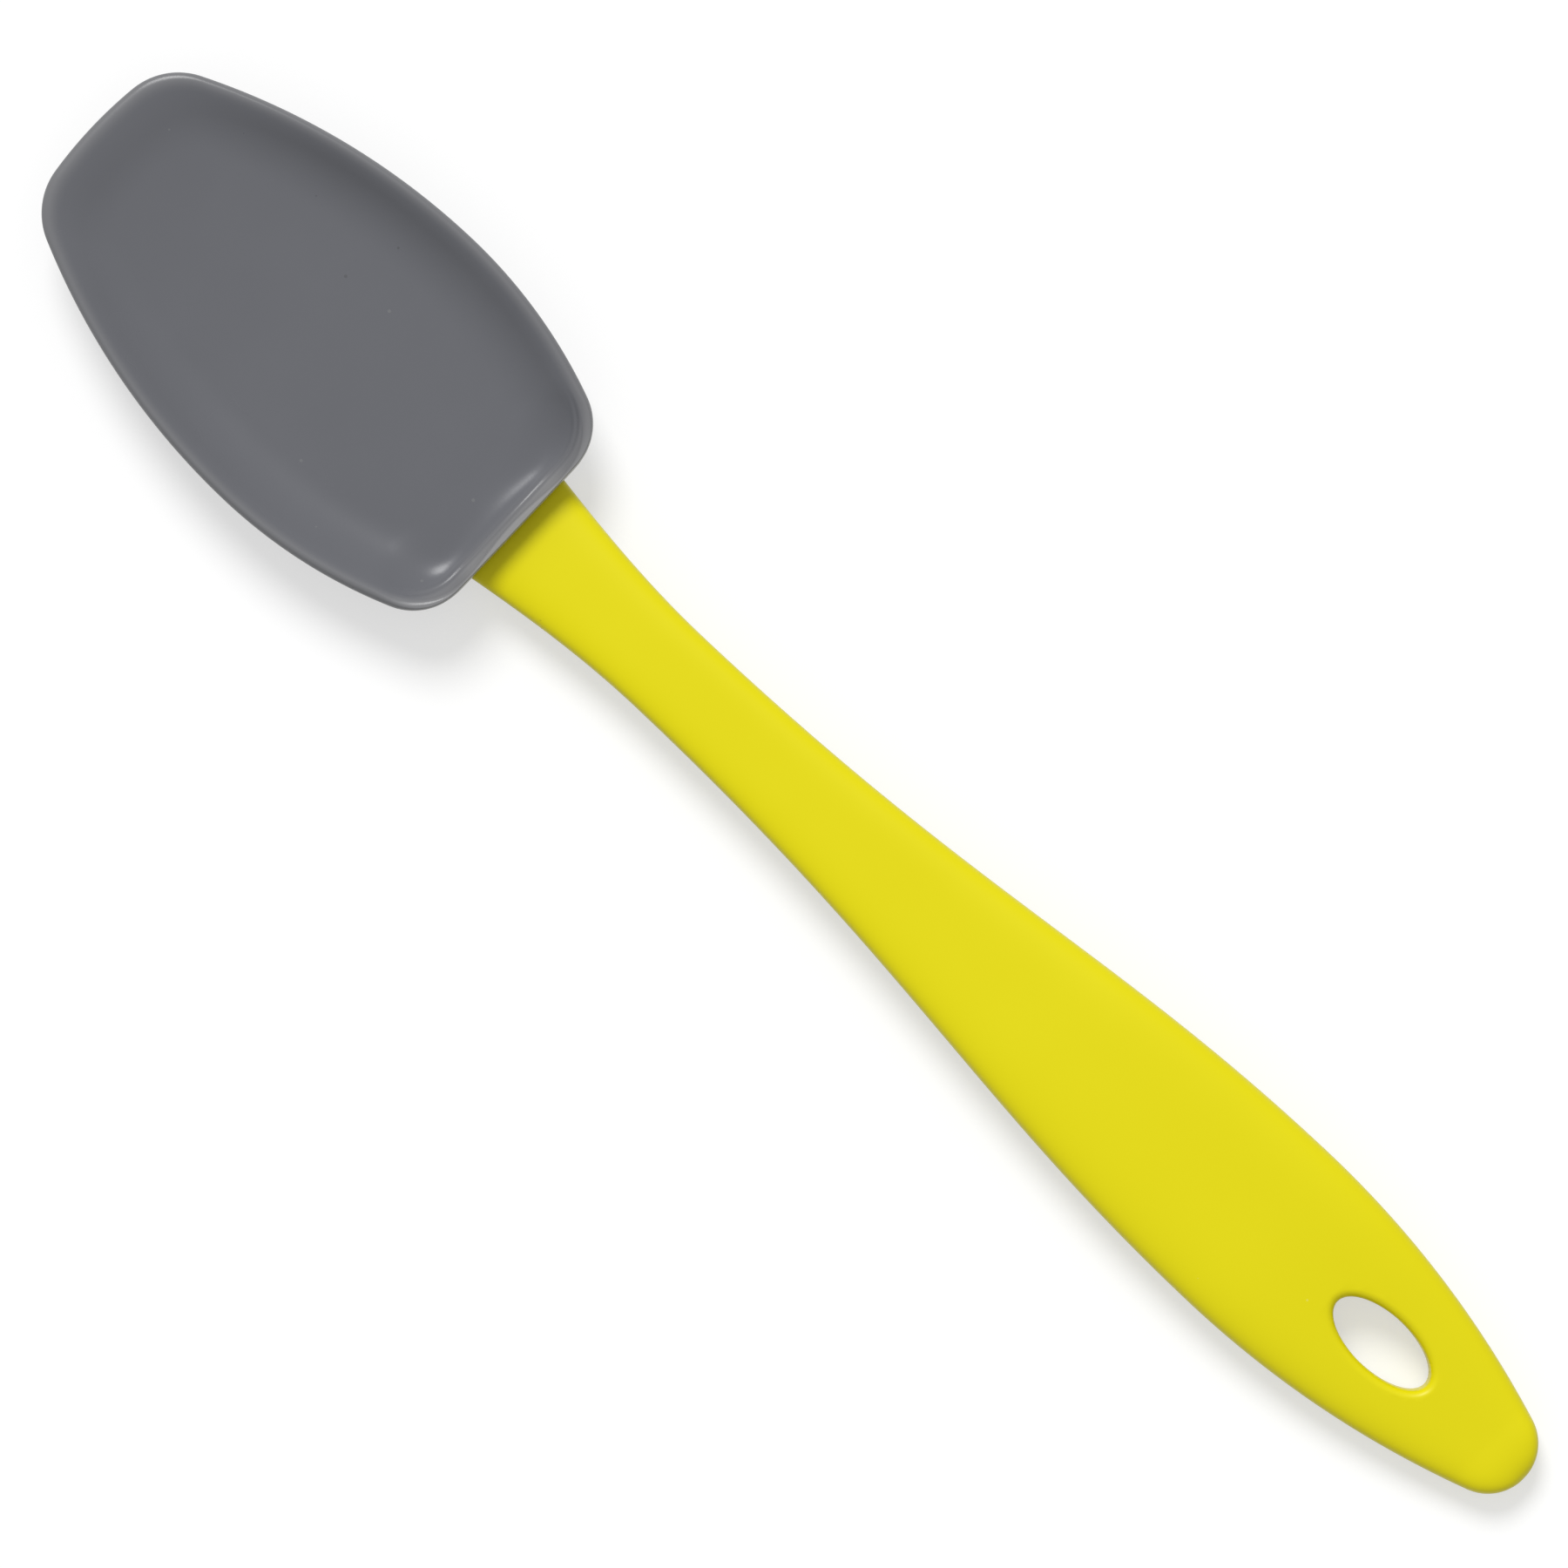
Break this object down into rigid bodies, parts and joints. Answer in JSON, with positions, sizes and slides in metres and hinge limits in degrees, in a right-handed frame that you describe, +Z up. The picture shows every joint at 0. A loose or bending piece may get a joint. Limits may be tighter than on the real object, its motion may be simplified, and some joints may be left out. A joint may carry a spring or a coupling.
{
  "type": "silicone spoon",
  "caption": "Long kitchen spoon with a shallow square-tipped silicone bowl pushed onto a flat waisted plastic handle, which has an oval hanging hole near its tail.",
  "frame": {"origin": "on the surface that the spoon lies on, under the middle of its length, on its middle plane", "axes": "+X from the tip of the head to the tail of the handle, +Z up out of the bowl"},
  "size_m": [0.26, 0.0474, 0.0116],
  "materials": {
    "yellow_plastic": "satin, evenly coloured injection moulding",
    "grey_silicone": "soft satin silicone moulding"
  },
  "bodies": {
    "handle": {"handle": "yellow_plastic"},
    "head": {"silicone_head": "grey_silicone"}
  },
  "joints": [
    {"name": "head_pull_off", "type": "slide", "parent": "handle", "child": "head", "axis": [-1, 0, 0], "range_m": [0, 0.04]}
  ]
}
